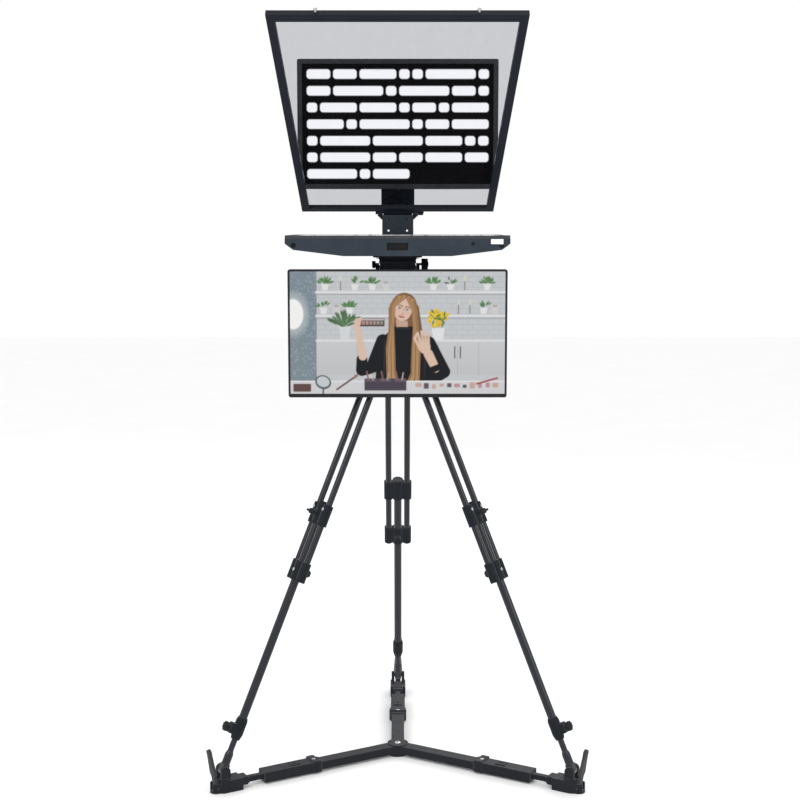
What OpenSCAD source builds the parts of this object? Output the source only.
// Teleprompter on a twin-tube tripod. A text monitor lies flat under a leaning mirror, a
// second display faces the presenter, and a telescopic spreader ties the feet together.
// The origin is on the ground under the tripod's centre, +Z is up, the presenter is at -Y.

/* [Tripod] */
// Height of the leg pivots above the ground
crown_h = 1027; // [950:1:1080]
// Distance of each leg pivot from the centre
pivot_r = 60; // [60:1:64]
// Angle of each leg from the vertical
leg_angle = 24; // [20:1:26]
// Height of the ankle pivot above the ground
ankle_h = 52; // [50:1:58]
// Distance between the twin tubes of a leg
twin_gap = 50; // [48:1:54]
// Diameter of a twin tube
twin_d = 16; // [14:1:16]
// Diameter of the middle leg tube
mid_d = 21; // [20:1:22]
// Diameter of the tip tube
tip_d = 15; // [13:1:15]
// Wall of the leg tubes
tube_wall = 1.4; // [1:0.1:1.6]

/* [Spreader] */
// Width of the inner arm fixed to the hub
arm_w = 34; // [34:1:36]
// Height of the inner arm
arm_t = 20; // [19:1:20]
// Wall of the arm sections
arm_wall = 3; // [2.5:0.1:3]
// Width of the foot bar
bar_w = 25; // [22:1:26]
// Height of the foot bar
bar_t = 13; // [12:1:13]

/* [Head] */
// Diameter of the levelling bowl
bowl_d = 75; // [75:1:75]
// Height of the tilt axis above the ground
tilt_h = 1186; // [1180:1:1190]
// Height of the head's platform above the ground
platform_h = 1238; // [1236:1:1240]

/* [Carrier] */
// Width of the base rail
rail_w = 92; // [86:1:96]
// Height of the base rail's top face above the ground
rail_top = 1290; // [1288:1:1292]
// Width of the upright plate
upright_w = 84; // [78:1:90]
// Thickness of the upright plate
upright_t = 5; // [4:1:6]

/* [Text monitor] */
// Outer width of the text monitor
text_w = 546; // [530:1:560]
// Outer depth of the text monitor
text_d = 348; // [340:1:352]
// Height of its glass face above the ground
text_top = 1354; // [1352:1:1358]
// Thickness at its ends
text_end_t = 35; // [33:1:37]
// Thickness in its middle
text_mid_t = 50; // [50:1:50]
// Distance of its near edge in front of the centre
text_near = 142; // [138:1:146]

/* [Mirror] */
// Width of the mirror frame at its lower edge
frame_w_low = 514; // [500:1:530]
// Width of the mirror frame at its upper edge
frame_w_high = 619; // [600:1:640]
// Slant length of the mirror frame
frame_len = 638; // [620:1:650]
// Angle of the mirror from the horizontal
mirror_angle = 45; // [43:1:47]
// Depth of the frame section
frame_t = 18; // [16:1:20]

/* [Display] */
// Outer width of the presenter display
disp_w = 540; // [530:1:550]
// Outer height of the presenter display
disp_h = 316; // [310:1:320]
// Height of its lower edge above the ground
disp_low = 955; // [950:1:960]
// Distance of its front face in front of the centre
disp_front = 103; // [101:1:106]

/* [Hidden] */
$fn = 64;
leg_len = (crown_h - ankle_h) / cos(leg_angle);
foot_r = pivot_r + leg_len * sin(leg_angle);
twin_x = twin_gap / 2;
twin_r = twin_d / 2;
mid_r = mid_d / 2;
tip_r = tip_d / 2;
run = 0.05;          // radial running clearance of sliding tubes
rod_end = 0.02;      // radial gap of fixed tubes in their sockets
leg_turns = [["left", 120], ["right", -120], ["rear", 0]];

// Stations along a leg, measured from its pivot
twin_start = 20;
twin_end = 572;
low_collar_s = 524;
low_collar_h = 50;
block_s = 372;
block_h = 54;
mid_end = 958;
clamp_s = 932;
clamp_h = 56;
tip_start = 720;
tip_end = leg_len - 14;

// Mirror hinge, upright, frame face width and display pivot
hinge_y = 272;
hinge_z = 1414;
upright_top = hinge_z - 8;
frame_start = 10;
bar_face = 20;
disp_pivot_up = 20;
disp_pivot_back = 35;

// Stations along a spreader arm, measured from the hub's centre
arm_end = 283;
slider_start = 237;
slider_end = 390;
bar_start = 320;
neck_end = 430;
tongue_w = 14;
tongue_play = 7;
arm_z = 17;

// Pivot of the foot strap: beyond the ankle, and above the ground
strap_y = 20;
strap_z = 13;

// Places a part drawn with its leg's pivot at the origin and the leg along -Z
module on_leg(turn) {
    rotate([0, 0, turn]) translate([0, pivot_r, crown_h]) rotate([leg_angle, 0, 0]) children();
}

// Places a part drawn along +Y from the tripod's centre
module on_arm(turn) {
    rotate([0, 0, turn]) children();
}

module tube(r, wall, h) {
    difference() {
        cylinder(r = r, h = h);
        translate([0, 0, -1]) cylinder(r = r - wall, h = h + 2);
    }
}

module rounded_box(size, r) {
    linear_extrude(size[2], center = true) rounded_rect(size[0], size[1], r);
}

module rounded_rect(w, h, r) {
    union() {
        square([w - 2 * r, h], center = true);
        square([w, h - 2 * r], center = true);
        for (x = [-1, 1], y = [-1, 1])
            translate([x * (w / 2 - r), y * (h / 2 - r)]) circle(r);
    }
}

// Round-ended slot that runs length along +Y
module slot(r, length, h) {
    for (y = [0, length]) translate([0, y, 0]) cylinder(r = r, h = h);
    translate([-r, 0, 0]) cube([2 * r, length, h]);
}

// Fluted hand knob along +Z, with its stud reaching down to -stud
module hand_knob(r, h, stud_r, stud, lobes = 6) {
    difference() {
        cylinder(r = r, h = h);
        for (i = [0 : lobes - 1])
            rotate([0, 0, i * 360 / lobes]) translate([r * 1.18, 0, -1]) cylinder(r = r * 0.36, h = h + 2);
    }
    translate([0, 0, -stud]) cylinder(r = stud_r, h = stud + 0.5);
    translate([0, 0, h]) cylinder(r = r * 0.45, h = 1.5);
}

// Wing knob along +Z
module wing_knob(span, h, stud_r, stud) {
    cylinder(r = 7, h = h);
    translate([0, 0, h / 2]) rounded_box([span, 6, h], 2.9);
    translate([0, 0, -stud]) cylinder(r = stud_r, h = stud + 0.5);
}

// ---- Legs ----

module leg_twin_tubes(turn) {
    color("#23272e") on_leg(turn)
        for (x = [-twin_x, twin_x])
            translate([x, 0, -twin_end]) tube(twin_r, tube_wall, twin_end - twin_start);
}

module leg_castings(turn) {
    socket_r = twin_r + 4;
    color("#2b3038") on_leg(turn) {
        // Yoke that turns on the crown's pin
        difference() {
            union() {
                rotate([0, 90, 0]) cylinder(r = 12, h = 72, center = true);
                for (x = [-twin_x, twin_x])
                    translate([x, 0, -62]) cylinder(r = socket_r, h = 60);
                translate([-twin_x, -6, -50]) cube([twin_gap, 12, 50]);
            }
            rotate([0, 90, 0]) cylinder(r = 6, h = 80, center = true);
            for (x = [-twin_x, twin_x])
                translate([x, 0, -63]) cylinder(r = twin_r + rod_end, h = 63 - twin_start);
            translate([0, 0, -38]) cube([18, 14, 16], center = true);
        }
        // Lower collar that holds both twin tubes and guides the middle tube
        difference() {
            translate([0, 0, -low_collar_s - low_collar_h]) union() {
                for (x = [-twin_x, twin_x]) translate([x, 0, 0]) cylinder(r = socket_r, h = low_collar_h);
                cylinder(r = mid_r + 5, h = low_collar_h);
                translate([-twin_x, -8, 3]) cube([twin_gap, 16, low_collar_h - 6]);
                translate([0, -12, low_collar_h / 2]) rotate([90, 0, 0]) cylinder(r = 8, h = 8);
            }
            for (x = [-twin_x, twin_x])
                translate([x, 0, -twin_end]) cylinder(r = twin_r + rod_end, h = 80);
            translate([0, 0, -low_collar_s - low_collar_h - 1]) cylinder(r = mid_r + run, h = low_collar_h + 2);
            translate([0, -30, -low_collar_s - low_collar_h / 2]) rotate([-90, 0, 0]) cylinder(r = 3.1, h = 25);
        }
    }
}

module leg_lock_knob(turn) {
    color("#191b1f") on_leg(turn) translate([0, -20.5, -low_collar_s - low_collar_h / 2])
        rotate([90, 0, 0]) hand_knob(9, 10, 3, 8);
}

module leg_mid_tube(turn) {
    color("#23272e") on_leg(turn)
        translate([0, 0, -mid_end]) tube(mid_r, tube_wall, mid_end - block_s - 4);
}

module leg_mid_fittings(turn) {
    clamp_bottom = clamp_s + clamp_h;
    color("#2b3038") on_leg(turn) {
        // Slide block that runs on the twin tubes
        difference() {
            translate([0, 0, -block_s - block_h]) union() {
                for (x = [-twin_x, twin_x]) translate([x, 0, 0]) cylinder(r = twin_r + 4.5, h = block_h);
                cylinder(r = mid_r + 4, h = block_h + 6);
                translate([-twin_x, -9, 4]) cube([twin_gap, 18, block_h - 8]);
                translate([0, 8, block_h / 2]) rotate([-90, 0, 0]) cylinder(r = 9, h = 13);
            }
            for (x = [-twin_x, twin_x])
                translate([x, 0, -block_s - block_h - 1]) cylinder(r = twin_r + run, h = block_h + 2);
            translate([0, 0, -mid_end]) cylinder(r = mid_r + rod_end, h = mid_end - block_s - 4);
            translate([0, 12, -block_s - block_h / 2]) rotate([-90, 0, 0]) cylinder(r = 3.1, h = 15);
        }
        // Clamp at the middle tube's lower end that grips the tip tube
        difference() {
            union() {
                translate([0, 0, -clamp_bottom]) cylinder(r1 = 11, r2 = 14.5, h = 14);
                translate([0, 0, -clamp_bottom + 14]) cylinder(r = 14.5, h = clamp_h - 22);
                translate([0, 0, -clamp_s - 8]) cylinder(r1 = 14.5, r2 = 12, h = 8);
                translate([-9, 0, -clamp_bottom + 12]) cube([18, 25, 26]);
            }
            translate([0, 0, -mid_end]) cylinder(r = mid_r + rod_end, h = 60);
            translate([0, 0, -clamp_bottom - 1]) cylinder(r = tip_r + run, h = 40);
            translate([0, 16, -clamp_bottom + 25]) rotate([-90, 0, 0]) cylinder(r = 3.1, h = 12);
        }
    }
}

module leg_wing_knob(turn) {
    color("#191b1f") on_leg(turn) translate([0, 21.5, -block_s - block_h / 2])
        rotate([-90, 0, 0]) wing_knob(38, 10, 3, 9);
}

module leg_clamp_knob(turn) {
    color("#191b1f") on_leg(turn) translate([0, 25.5, -clamp_s - clamp_h + 25])
        rotate([-90, 0, 0]) {
            cylinder(r = 5.5, h = 7);
            translate([0, 0, 6]) hand_knob(12, 9, 3, 14, 8);
        }
}

module leg_tip(turn) {
    color("#23272e") on_leg(turn) {
        translate([0, 0, -tip_end]) tube(tip_r, tube_wall, tip_end - tip_start);
        // Foot casting with the ankle's cross bore
        difference() {
            union() {
                translate([0, 0, -tip_end]) cylinder(r = 10.5, h = 26);
                translate([0, 0, -tip_end + 26]) cylinder(r1 = 10.5, r2 = 8.6, h = 8);
                translate([0, 0, -leg_len]) rotate([0, 90, 0]) cylinder(r = 10, h = 19, center = true);
                translate([-9.5, -9, -leg_len]) cube([19, 18, 16]);
            }
            translate([0, 0, -leg_len]) rotate([0, 90, 0]) cylinder(r = 4, h = 30, center = true);
            translate([0, 0, -tip_end]) cylinder(r = tip_r + rod_end, h = 60);
        }
    }
}

module leg_upper(turn) {
    leg_twin_tubes(turn);
    leg_castings(turn);
    leg_lock_knob(turn);
}

module leg_middle(turn) {
    leg_mid_tube(turn);
    leg_mid_fittings(turn);
}

// ---- Ground spreader ----

module spreader_hub() {
    cavity_w = tongue_w + 2 * tongue_play;
    cavity_t = arm_t - 2 * arm_wall;
    color("#343a42") {
        difference() {
            union() {
                cylinder(r = 27, h = arm_z + arm_t / 2 + 3);
                for (leg = leg_turns) on_arm(leg[1])
                    translate([-arm_w / 2, 0, arm_z - arm_t / 2]) cube([arm_w, arm_end, arm_t]);
            }
            for (leg = leg_turns) on_arm(leg[1])
                translate([-cavity_w / 2, 48, arm_z - cavity_t / 2]) cube([cavity_w, arm_end, cavity_t]);
            translate([0, 0, 6]) cylinder(r = 4, h = 60);
            translate([0, 0, arm_z + arm_t / 2 - 2]) cylinder(r = 9, h = 10);
        }
    }
}

module spreader_slider(turn) {
    outer_w = arm_w + 5.4;
    outer_t = arm_t + 5.4;
    length = slider_end - slider_start;
    color("#2c3138") on_arm(turn) translate([0, 0, arm_z]) difference() {
        union() {
            translate([-outer_w / 2, slider_start, -outer_t / 2]) cube([outer_w, length, outer_t]);
            // Raised end with its side ears
            translate([-outer_w / 2 - 3, slider_start, -outer_t / 2]) cube([outer_w + 6, 20, outer_t + 4]);
            translate([0, slider_start + 10, -outer_t / 2]) cylinder(r = outer_w / 2 + 4, h = outer_t);
            // Low latch pad
            translate([-11, slider_start + 52, outer_t / 2]) cube([22, 26, 3]);
        }
        translate([-arm_w / 2 - 0.3, slider_start - 20, -arm_t / 2 - 0.3])
            cube([arm_w + 0.6, length + 2, arm_t + 0.6]);
        // Slot of the bar's tongue, wide enough for it to settle sideways as the legs fold
        translate([-tongue_w / 2 - tongue_play, slider_start, -bar_t / 2 - 0.2])
            cube([tongue_w + 2 * tongue_play, length + 9, bar_t + 0.4]);
        translate([-3, slider_start + 58, outer_t / 2 + 1]) cube([6, 14, 5]);
        translate([0, slider_start + 10, outer_t / 2 + 1]) cylinder(r = 6, h = 10);
    }
}

module foot_cup(turn) {
    color("#262a30") on_arm(turn) difference() {
        union() {
            translate([-tongue_w / 2, bar_start, arm_z - bar_t / 2]) cube([tongue_w, foot_r - 30 - bar_start, bar_t]);
            translate([-bar_w / 2, neck_end, arm_z - bar_t / 2]) cube([bar_w, foot_r - 30 - neck_end, bar_t]);
            // Raised stop in front of the cup
            translate([-15, foot_r - 60, arm_z - bar_t / 2 - 2]) cube([30, 20, bar_t + 7]);
            // Cup with a round outer end
            translate([0, foot_r, 0]) cylinder(r = 22, h = 36);
            translate([-22, foot_r - 44, 0]) cube([44, 44, 30]);
            translate([-16, foot_r + 4, 0]) cube([32, strap_y - 6, 24]);
            translate([0, foot_r + strap_y - 2, 0]) cylinder(r = 16, h = 24);
            // Ears that hold the ankle pin
            for (x = [-1, 1]) translate([x * 15, 0, 0]) {
                translate([-4, foot_r - 12, 20]) cube([8, 24, ankle_h - 20]);
                translate([0, foot_r, ankle_h]) rotate([0, 90, 0]) cylinder(r = 12, h = 8, center = true);
            }
        }
        // Hollow of the cup that the foot drops into
        translate([-10.5, foot_r - 26, ankle_h - 24]) cube([21, 52, 60]);
        // Slot of the strap
        translate([-9, foot_r + strap_y - 7.5, 6]) cube([18, 40, 40]);
        translate([0, foot_r + strap_y, strap_z]) rotate([0, 90, 0]) cylinder(r = 3, h = 60, center = true);
    }
    color("#9a9da2") on_arm(turn) {
        translate([0, foot_r, ankle_h]) rotate([0, 90, 0]) cylinder(r = 3.95, h = 38, center = true);
    }
}

module foot_strap(turn) {
    length = 90;
    lean = 10;
    neck = 27;
    color("#202226") on_arm(turn) translate([0, foot_r + strap_y, strap_z]) {
        rotate([0, 90, 0]) cylinder(r = 2.95, h = 31, center = true);
        difference() {
            union() {
                rotate([0, 90, 0]) cylinder(r = 6, h = 17, center = true);
                rotate([90 - lean, 0, 0]) linear_extrude(7, center = true)
                    polygon([[-8, 0], [8, 0], [8, neck], [14, neck + 9], [9, length],
                        [-9, length], [-14, neck + 9], [-8, neck]]);
                rotate([90 - lean, 0, 0]) translate([0, length, 0]) cylinder(r = 9, h = 8, center = true);
            }
            rotate([90 - lean, 0, 0]) translate([0, length, 0]) cylinder(r = 3, h = 20, center = true);
        }
    }
}

// ---- Crown and fluid head ----

module crown() {
    crown_casting();
    leg_pins();
}

module crown_casting() {
    top = crown_h + 35;
    color("#2b3038") difference() {
        union() {
            translate([0, 0, crown_h - 19]) cylinder(r = 45, h = top - crown_h + 19);
            for (leg = leg_turns) rotate([0, 0, leg[1]]) for (x = [-42, 42]) translate([x, 0, crown_h]) {
                translate([0, pivot_r, 0]) rotate([0, 90, 0]) cylinder(r = 14, h = 9, center = true);
                translate([-4.5, 0, -14]) cube([9, pivot_r, 28]);
            }
        }
        translate([0, 0, top]) sphere(r = bowl_d / 2);
        translate([0, 0, crown_h - 30]) cylinder(r = 17, h = 60);
        for (leg = leg_turns) rotate([0, 0, leg[1]]) translate([0, pivot_r, crown_h]) {
            rotate([0, 90, 0]) cylinder(r = 6, h = 120, center = true);
            // Room for the yoke's barrel between each pair of lugs
            rotate([0, 90, 0]) cylinder(r = 13.5, h = 74, center = true);
        }
    }
}

module leg_pins() {
    color("#9a9da2") for (leg = leg_turns) rotate([0, 0, leg[1]])
        translate([0, pivot_r, crown_h]) rotate([0, 90, 0]) {
            cylinder(r = 5.95, h = 94, center = true);
            translate([0, 0, 47]) cylinder(r = 8, h = 4);
            translate([0, 0, -51]) cylinder(r = 8, h = 4);
        }
}

module half_ball() {
    top = crown_h + 35;
    color("#3a3f47") {
        intersection() {
            translate([0, 0, top]) sphere(r = bowl_d / 2 - 0.08);
            translate([0, 0, top - 30]) cylinder(r = 60, h = 30);
        }
        translate([0, 0, top]) cylinder(r = 29, h = 14);
        translate([0, 0, crown_h - 70]) cylinder(r = 5, h = 90);
    }
}

module bowl_knob() {
    color("#191b1f") difference() {
        union() {
            translate([0, 0, crown_h - 60]) cylinder(r = 17, h = 26);
            translate([0, 0, crown_h - 34]) cylinder(r1 = 17, r2 = 22, h = 8);
        }
        translate([0, 0, crown_h - 80]) cylinder(r = 5.05, h = 90);
        for (i = [0 : 5]) rotate([0, 0, i * 60]) translate([20, 0, crown_h - 61]) cylinder(r = 5, h = 24);
    }
}

module head_base() {
    color("#2b3038") difference() {
        union() {
            translate([0, 0, crown_h + 49]) cylinder(r = 35, h = 26);
            translate([0, 33, crown_h + 62]) rotate([-90, 0, 0]) cylinder(r = 8, h = 9);
        }
        translate([0, 36, crown_h + 62]) rotate([-90, 0, 0]) cylinder(r = 3.1, h = 9);
    }
}

module pan_knob() {
    color("#191b1f") translate([0, 42.5, crown_h + 62]) rotate([-90, 0, 0]) hand_knob(10, 12, 3, 6);
}

module head_body() {
    base = crown_h + 75.2;
    color("#343a42") difference() {
        union() {
            translate([0, 0, base]) cylinder(r = 34, h = 14);
            translate([-32, -26, base + 10]) cube([64, 52, 34]);
            for (x = [-1, 1]) {
                translate([x * 27.5 - 6.5, -22, base + 30]) cube([13, 44, tilt_h - base - 30]);
                translate([x * 27.5, 0, tilt_h]) rotate([0, 90, 0]) cylinder(r = 22, h = 13, center = true);
            }
        }
        translate([0, 0, tilt_h]) rotate([0, 90, 0]) cylinder(r = 6.05, h = 90, center = true);
        translate([0, 0, tilt_h]) rotate([0, 90, 0]) cylinder(r = 21.5, h = 41.6, center = true);
    }
}

module head_cradle() {
    color("#2b3038") difference() {
        union() {
            translate([0, 0, tilt_h]) rotate([0, 90, 0]) cylinder(r = 20, h = 40, center = true);
            translate([0, 0, tilt_h]) rotate([0, 90, 0]) cylinder(r = 6, h = 84, center = true);
            translate([-20, -18, tilt_h]) cube([40, 36, platform_h - tilt_h - 8]);
            translate([0, 0, platform_h - 7]) rounded_box([84, 68, 14], 6);
            // Socket of the pan handle
            translate([0, 20, platform_h - 22]) rotate([-120, 0, 0]) translate([0, 0, -6]) cylinder(r = 11, h = 24);
        }
        translate([0, 20, platform_h - 22]) rotate([-120, 0, 0]) cylinder(r = 7, h = 40);
    }
}

module tilt_knob() {
    color("#191b1f") difference() {
        translate([-36, 0, tilt_h]) rotate([0, -90, 0]) {
            cylinder(r = 11, h = 6);
            translate([0, 0, 6]) hand_knob(15, 10, 1, 0);
        }
        translate([-30, 0, tilt_h]) rotate([0, -90, 0]) cylinder(r = 6.05, h = 12.5);
    }
}

module pan_handle() {
    length = 250;
    color("#202226") translate([0, 20, platform_h - 22]) rotate([-120, 0, 0]) {
        cylinder(r = 6.95, h = length);
        translate([0, 0, length - 105]) difference() {
            cylinder(r = 13, h = 112);
            translate([0, 0, -1]) cylinder(r = 6.95, h = 106);
            for (z = [10 : 9 : 100]) translate([0, 0, z]) rotate_extrude() translate([13.6, 0]) circle(r = 1.6);
        }
    }
}

module rail_clamp() {
    low = platform_h;
    top = rail_top - 18.1;
    color("#23272e") difference() {
        union() {
            translate([0, 0, (low + top) / 2]) rounded_box([rail_w, 66, top - low], 5);
            for (x = [-1, 1]) translate([x * (rail_w / 2 + 5), 0, top - 4]) cube([8, 56, 30], center = true);
            translate([-rail_w / 2 - 9, -28, low + 4]) cube([rail_w + 18, 56, 16]);
        }
        translate([0, 0, rail_top - 9]) rotate([0, 90, 0]) cylinder(r = 3.1, h = 200, center = true);
    }
}

module rail_knob() {
    color("#191b1f") translate([rail_w / 2 + 14, 0, rail_top - 9]) rotate([0, 90, 0]) {
        hand_knob(14, 16, 3, 11, 9);
    }
}

module rail_lever() {
    color("#191b1f") translate([-rail_w / 2 - 9.5, 0, rail_top - 9]) rotate([0, -90, 0]) {
        translate([0, 0, -7]) cylinder(r = 3, h = 8);
        cylinder(r = 8, h = 9);
        linear_extrude(7) polygon([[-5, 0], [5, 0], [-4, -44], [-9, -44]]);
    }
}

// ---- Carrier ----

module base_rail() {
    rail_back = 292;
    rail_front = 55;
    color("#3b424c") difference() {
        translate([-rail_w / 2, -rail_front, rail_top - 18]) cube([rail_w, rail_front + rail_back, 18]);
        // Lightening slots
        for (y = [70, 150]) translate([0, y, rail_top - 20]) slot(9, 50, 30);
        // Shallow side grooves
        for (x = [-1, 1]) translate([x * rail_w / 2, 120, rail_top - 9]) cube([4, 400, 6], center = true);
    }
}

module tray() {
    low = rail_top;
    top = text_top - text_mid_t;
    color("#1d2025") difference() {
        union() {
            translate([0, 0, top - 2.5]) rounded_box([122, 122, 5], 8);
            translate([0, 40, low]) rotate([90, 0, 0]) linear_extrude(80)
                polygon([[-44, 0], [44, 0], [51, top - low - 4], [-51, top - low - 4]]);
        }
        for (x = [-50, 50], y = [-50, 50]) translate([x, y, top - 30]) cylinder(r = 2.2, h = 40);
    }
}

module upright_plate() {
    top = upright_top;
    color("#454c57") difference() {
        union() {
            translate([-upright_w / 2, hinge_y - 10, rail_top]) cube([upright_w, upright_t, top - rail_top]);
            translate([-upright_w / 2, hinge_y - 38, rail_top]) cube([upright_w, 30, upright_t]);
            for (x = [-1, 1]) translate([x * (upright_w / 2 - 2), hinge_y - 5, rail_top])
                rotate([90, 0, 90]) linear_extrude(4, center = true)
                    polygon([[0, 0], [22, 0], [10, 40], [10, top - rail_top - 24], [0, top - rail_top - 16]]);
        }
        for (x = [-25, 25], z = [74, 104])
            translate([x, hinge_y - 30, rail_top + z]) rotate([-90, 0, 0]) cylinder(r = 2.7, h = 60);
        for (x = [-25, 25]) translate([x, hinge_y - 26, rail_top - 1]) cylinder(r = 3, h = 20);
    }
}

module camera_shelf() {
    shelf_z = hinge_z - 28;
    color("#2b3038") difference() {
        union() {
            translate([-34, hinge_y - 5, shelf_z]) cube([68, 170, 5]);
            translate([-34, hinge_y - 4.9, shelf_z - 40]) cube([68, 5, 42]);
            for (x = [-32, 32]) translate([x, hinge_y, shelf_z]) rotate([90, 0, 90])
                linear_extrude(4, center = true) polygon([[0, 1], [0, -38], [8, -38], [120, -6], [120, 1]]);
        }
        translate([0, hinge_y + 62, shelf_z - 2]) slot(3.6, 88, 12);
        for (x = [-25, 25]) translate([x, hinge_y - 30, rail_top + 74]) rotate([-90, 0, 0]) cylinder(r = 2.7, h = 60);
    }
}

module camera_plate() {
    shelf_z = hinge_z - 28;
    color("#3b424c") difference() {
        translate([0, hinge_y + 106, shelf_z + 9.1]) rounded_box([56, 82, 8], 5);
        translate([0, hinge_y + 106, shelf_z]) cylinder(r = 3.4, h = 30);
        for (x = [-1, 1]) translate([x * 15, hinge_y + 106, shelf_z + 12.6]) cube([14, 70, 1.2], center = true);
    }
}

module camera_screw() {
    shelf_z = hinge_z - 28;
    color("#9a9da2") translate([0, hinge_y + 106, 0]) {
        translate([0, 0, shelf_z - 10]) cylinder(r = 3, h = 24);
        // Standard camera stud above the plate
        translate([0, 0, shelf_z + 13.1]) cylinder(r = 3.175, h = 6);
        translate([0, 0, shelf_z - 12]) difference() {
            cylinder(r = 12, h = 11);
            for (i = [0 : 11]) rotate([0, 0, i * 30]) translate([12.6, 0, -1]) cylinder(r = 1.5, h = 14);
        }
    }
}

// ---- Mirror ----

module on_mirror() {
    translate([0, hinge_y, hinge_z]) rotate([180 - mirror_angle, 0, 0]) children();
}

// Trapezoid of the mirror, drawn in from the frame's outer edge by inset, and by less at the thin lower bar
module mirror_outline(inset) {
    lean = (frame_w_high - frame_w_low) / 2 / frame_len;
    low_inset = inset * 0.6;
    low = frame_start + low_inset;
    high = frame_start + frame_len - inset;
    half_low = frame_w_low / 2 + lean * low_inset - inset;
    half_high = frame_w_high / 2 - lean * inset - inset;
    polygon([[-half_low, low], [half_low, low], [half_high, high], [-half_high, high]]);
}

module mirror_frame() {
    color("#232831") on_mirror() difference() {
        union() {
            translate([0, 0, -frame_t / 2]) linear_extrude(frame_t) difference() {
                mirror_outline(0);
                mirror_outline(bar_face);
            }
            // Hinge barrel on the lower bar
            rotate([0, 90, 0]) cylinder(r = 8, h = 78, center = true);
            translate([-39, 0, -6]) cube([78, frame_start + 4, 12]);
        }
        // Groove for the glass
        translate([0, 0, -2.2]) linear_extrude(4.4) mirror_outline(bar_face - 8);
        rotate([0, 90, 0]) cylinder(r = 4, h = 100, center = true);
    }
}

module mirror_glass() {
    color([0.75, 0.77, 0.78, 0.5]) on_mirror()
        translate([0, 0, -2]) linear_extrude(4) mirror_outline(bar_face - 7.5);
}

module hood_studs() {
    color("#b9bcc0") on_mirror() for (x = [-1, 1])
        translate([x * frame_w_high * 0.31, frame_start + frame_len, 0]) rotate([-90, 0, 0]) {
            cylinder(r = 2.5, h = 5);
            translate([0, 0, 5]) cylinder(r = 5, h = 5);
        }
}

module hinge_clevis() {
    clevis_block();
    hinge_pin();
}

module clevis_block() {
    color("#262b33") difference() {
        union() {
            for (x = [-1, 1]) translate([x * 47, hinge_y, hinge_z]) {
                rotate([0, 90, 0]) cylinder(r = 9.2, h = 14, center = true);
                translate([-7, -10, -12]) cube([14, 20, 12]);
            }
            translate([0, hinge_y - 4.5, hinge_z - 14]) rotate([90, 0, 0]) linear_extrude(11, center = true)
                polygon([[-44, -6], [44, -6], [54, 5], [-54, 5]]);
        }
        translate([0, hinge_y, hinge_z]) rotate([0, 90, 0]) cylinder(r = 4, h = 130, center = true);
        translate([-50, hinge_y - 10, rail_top]) cube([100, upright_t, upright_top - rail_top]);
    }
}

module hinge_pin() {
    color("#9a9da2") translate([0, hinge_y, hinge_z]) rotate([0, 90, 0]) {
        cylinder(r = 3.95, h = 118, center = true);
        translate([0, 0, -60]) cylinder(r = 6.5, h = 5.8);
    }
}

module hinge_knob() {
    color("#191b1f") translate([54.4, hinge_y, hinge_z]) rotate([0, 90, 0]) difference() {
        hand_knob(9.2, 14, 1, 0);
        translate([0, 0, -1]) cylinder(r = 4, h = 6);
    }
}

// ---- Monitors, drawn face up with the face's centre at the origin ----

module bezel(w, d, t, lip, low_lip) {
    difference() {
        translate([0, 0, -t / 2]) rounded_box([w, d, t], 6);
        translate([0, (low_lip - lip) / 2, -t - 1]) linear_extrude(t + 2)
            square([w - 2 * lip, d - lip - low_lip], center = true);
        translate([0, (low_lip - lip) / 2, -t - 1]) linear_extrude(t - 0.5)
            square([w - 2 * lip + 5, d - lip - low_lip + 5], center = true);
    }
}

// Thin box that fills the rebate behind the lip
module panel(w, d, t, lip, low_lip) {
    translate([0, (low_lip - lip) / 2, -t - 1.6]) linear_extrude(t)
        square([w - 2 * lip + 4.6, d - lip - low_lip + 4.6], center = true);
}

// Back shell: chamfered ends and a belly, hollow inside
module back_profile(w, end_t, mid_t) {
    polygon([
        [-w / 2, 0], [w / 2, 0], [w / 2, -end_t * 0.45], [w / 2 - 20, -end_t], [w * 0.24, -mid_t],
        [-w * 0.24, -mid_t], [-w / 2 + 20, -end_t], [-w / 2, -end_t * 0.45]
    ]);
}

module text_back() {
    z = text_top - 8;
    color("#3a414b") translate([0, text_d - text_near, z]) difference() {
        rotate([90, 0, 0]) linear_extrude(text_d) back_profile(text_w, text_end_t - 8, text_mid_t - 8);
        translate([0, -4, -2]) rotate([90, 0, 0]) linear_extrude(text_d - 8)
            back_profile(text_w - 10, text_end_t - 14, text_mid_t - 14);
        translate([0, -text_d / 2, -10]) linear_extrude(20) square([text_w - 30, text_d - 30], center = true);
        // Screw wells and the socket bay in the near edge
        for (x = [-1, 1]) translate([x * (text_w / 2 - 21), -text_d - 1, -16]) rotate([-90, 0, 0]) cylinder(r = 6, h = 3);
        translate([-26, -text_d - 1, -28]) cube([52, 4, 18]);
        for (x = [-50, 50], y = [-50, 50])
            translate([x, text_near - text_d + y, -60]) cylinder(r = 2, h = 24);
        // Cooling slots
        for (x = [-90 : 12 : 90]) translate([x, -70, -60]) cube([4, 46, 30]);
        translate([text_w / 2 - 90, -text_d - 1, -12]) rotate([-90, 0, 0]) cylinder(r = 4.1, h = 10);
    }
}

module text_bezel() {
    color("#2a2e34") translate([0, text_d / 2 - text_near, text_top]) bezel(text_w, text_d, 8, 13, 13);
}

module text_panel() {
    color("#0b0c0e") translate([0, text_d / 2 - text_near, text_top]) panel(text_w, text_d, 5, 13, 13);
}

module text_board() {
    color("#20533a") translate([0, text_d / 2 - text_near, text_top - 30]) {
        cube([170, 110, 1.6], center = true);
        translate([-40, 10, 4]) cube([30, 30, 6], center = true);
        translate([50, -20, 6]) cube([24, 40, 10], center = true);
    }
}

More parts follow.
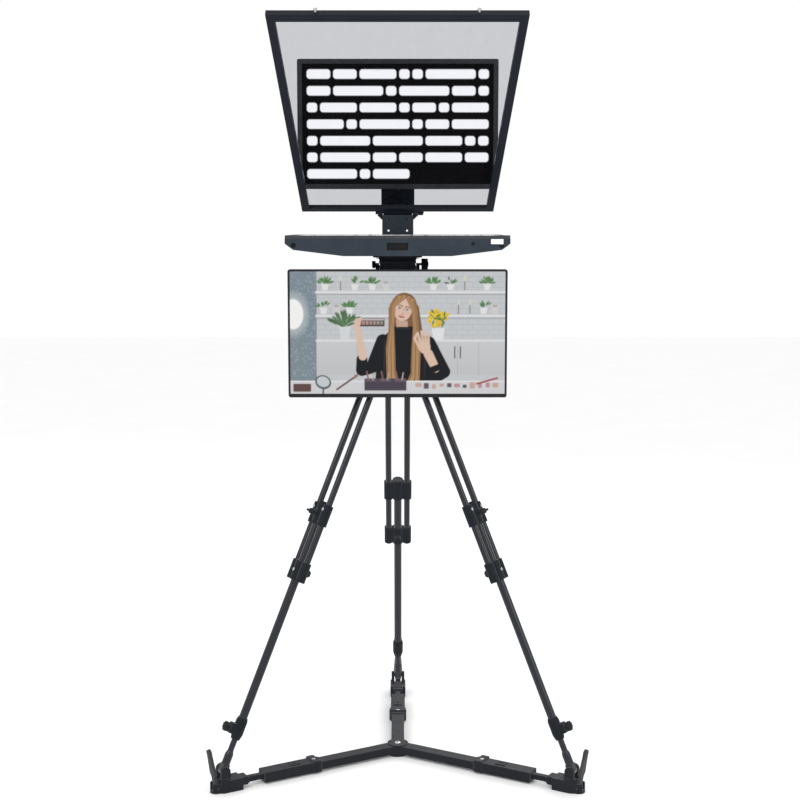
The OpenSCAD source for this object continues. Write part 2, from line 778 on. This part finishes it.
module text_button() {
    color("#15171a") translate([text_w / 2 - 90, -text_near - 1.4, text_top - 20]) rotate([-90, 0, 0])
        cylinder(r = 4, h = 7);
}

module text_label() {
    color("#eceef2") translate([text_w / 2 - 32, -text_near - 0.3, text_top - 15]) cube([30, 0.6, 12], center = true);
}

module edge_screws() {
    color("#5a5f66") for (x = [-1, 1])
        translate([x * (text_w / 2 - 21), -text_near + 1.95, text_top - 24]) rotate([90, 0, 0]) difference() {
            cylinder(r = 4, h = 1.8);
            translate([0, 0, 1]) cube([1, 6, 2], center = true);
        }
}

module carrier_screws() {
    tray_screws();
    edge_screws();
    text_label();
}

module tray_screws() {
    top = text_top - text_mid_t;
    color("#5a5f66") for (x = [-50, 50], y = [-50, 50]) translate([x, y, top - 5]) {
        cylinder(r = 1.95, h = 10);
        translate([0, 0, -3]) cylinder(r = 4, h = 3);
    }
}

// ---- Presenter display, upright with its face towards -Y ----

module on_display() {
    translate([0, -disp_front, disp_low + disp_h / 2]) rotate([90, 0, 0]) children();
}

module display_bezel() {
    color("#26282c") on_display() bezel(disp_w, disp_h, 8, 5, 9);
}

module display_panel() {
    color("#3f5a66") on_display() panel(disp_w, disp_h, 5, 5, 9);
}

module display_back() {
    color("#2b2f35") on_display() translate([0, 0, -8]) difference() {
        union() {
            translate([0, 0, -4]) rounded_box([disp_w, disp_h, 8], 6);
            translate([0, 30, -12.5]) rounded_box([300, 170, 9], 14);
        }
        translate([0, 0, 0]) cube([disp_w - 14, disp_h - 14, 10], center = true);
        translate([0, 30, -8]) cube([286, 156, 12], center = true);
        for (x = [-50, 50], y = [-50, 50]) translate([x, y + disp_pivot_up, -20]) cylinder(r = 2, h = 8);
        translate([disp_w / 2 - 60, -disp_h / 2 - 1, -4]) rotate([-90, 0, 0]) cylinder(r = 2.6, h = 16);
    }
}

module display_mount() {
    color("#1d2025") on_display() translate([0, disp_pivot_up, 0]) difference() {
        union() {
            translate([0, 0, -27]) rounded_box([116, 116, 4], 8);
            for (x = [-1, 1]) translate([x * 28, 0, 0]) {
                translate([-5, -12, -37]) cube([10, 24, 9]);
                translate([0, 0, -disp_pivot_back]) rotate([0, 90, 0]) cylinder(r = 7, h = 10, center = true);
            }
        }
        translate([0, 0, -disp_pivot_back]) rotate([0, 90, 0]) cylinder(r = 4, h = 90, center = true);
        for (x = [-50, 50], y = [-50, 50]) translate([x, y, -40]) cylinder(r = 2.2, h = 30);
    }
}

module display_arm() {
    arm_plate();
    display_pin();
}

module arm_plate() {
    pivot_y = disp_pivot_back - disp_front;
    pivot_z = disp_low + disp_h / 2 + disp_pivot_up;
    color("#343a42") difference() {
        union() {
            translate([-36, -60, pivot_z - 30]) cube([72, 5, rail_top - pivot_z + 30]);
            translate([0, pivot_y, pivot_z]) rotate([0, 90, 0]) cylinder(r = 5.5, h = 45.6, center = true);
            translate([-22.8, pivot_y, pivot_z - 5]) cube([45.6, -58 - pivot_y, 10]);
        }
        translate([0, pivot_y, pivot_z]) rotate([0, 90, 0]) cylinder(r = 4, h = 90, center = true);
        translate([0, -45, pivot_z + 50]) rotate([90, 0, 0]) slot(10, 60, 30);
        for (x = [-22, 22]) translate([x, -70, rail_top - 9]) rotate([-90, 0, 0]) cylinder(r = 2.7, h = 30);
    }
}

module display_pin() {
    color("#9a9da2") translate([0, disp_pivot_back - disp_front, disp_low + disp_h / 2 + disp_pivot_up])
        rotate([0, 90, 0]) cylinder(r = 3.95, h = 66.8, center = true);
}

module display_knob() {
    color("#191b1f") translate([-33.6, disp_pivot_back - disp_front, disp_low + disp_h / 2 + disp_pivot_up])
        rotate([0, -90, 0]) hand_knob(5.6, 13, 1, 0);
}

crown();
half_ball();
bowl_knob();
head_base();
pan_knob();
head_body();
head_cradle();
tilt_knob();
pan_handle();
rail_clamp();
rail_knob();
rail_lever();
base_rail();
tray();
carrier_screws();
upright_plate();
camera_shelf();
camera_plate();
camera_screw();
mirror_frame();
mirror_glass();
hood_studs();
hinge_clevis();
hinge_knob();
text_back();
text_bezel();
text_panel();
text_board();
text_button();
display_bezel();
display_panel();
display_back();
display_mount();
display_arm();
display_knob();
spreader_hub();
leg_upper(120);  // left_leg_upper
leg_middle(120);  // left_leg_middle
leg_wing_knob(120);  // left_leg_wing_knob
leg_clamp_knob(120);  // left_leg_clamp_knob
leg_tip(120);  // left_leg_tip
spreader_slider(120);  // left_spreader_slider
foot_cup(120);  // left_foot_cup
foot_strap(120);  // left_foot_strap
leg_upper(-120);  // right_leg_upper
leg_middle(-120);  // right_leg_middle
leg_wing_knob(-120);  // right_leg_wing_knob
leg_clamp_knob(-120);  // right_leg_clamp_knob
leg_tip(-120);  // right_leg_tip
spreader_slider(-120);  // right_spreader_slider
foot_cup(-120);  // right_foot_cup
foot_strap(-120);  // right_foot_strap
leg_upper(0);  // rear_leg_upper
leg_middle(0);  // rear_leg_middle
leg_wing_knob(0);  // rear_leg_wing_knob
leg_clamp_knob(0);  // rear_leg_clamp_knob
leg_tip(0);  // rear_leg_tip
spreader_slider(0);  // rear_spreader_slider
foot_cup(0);  // rear_foot_cup
foot_strap(0);  // rear_foot_strap
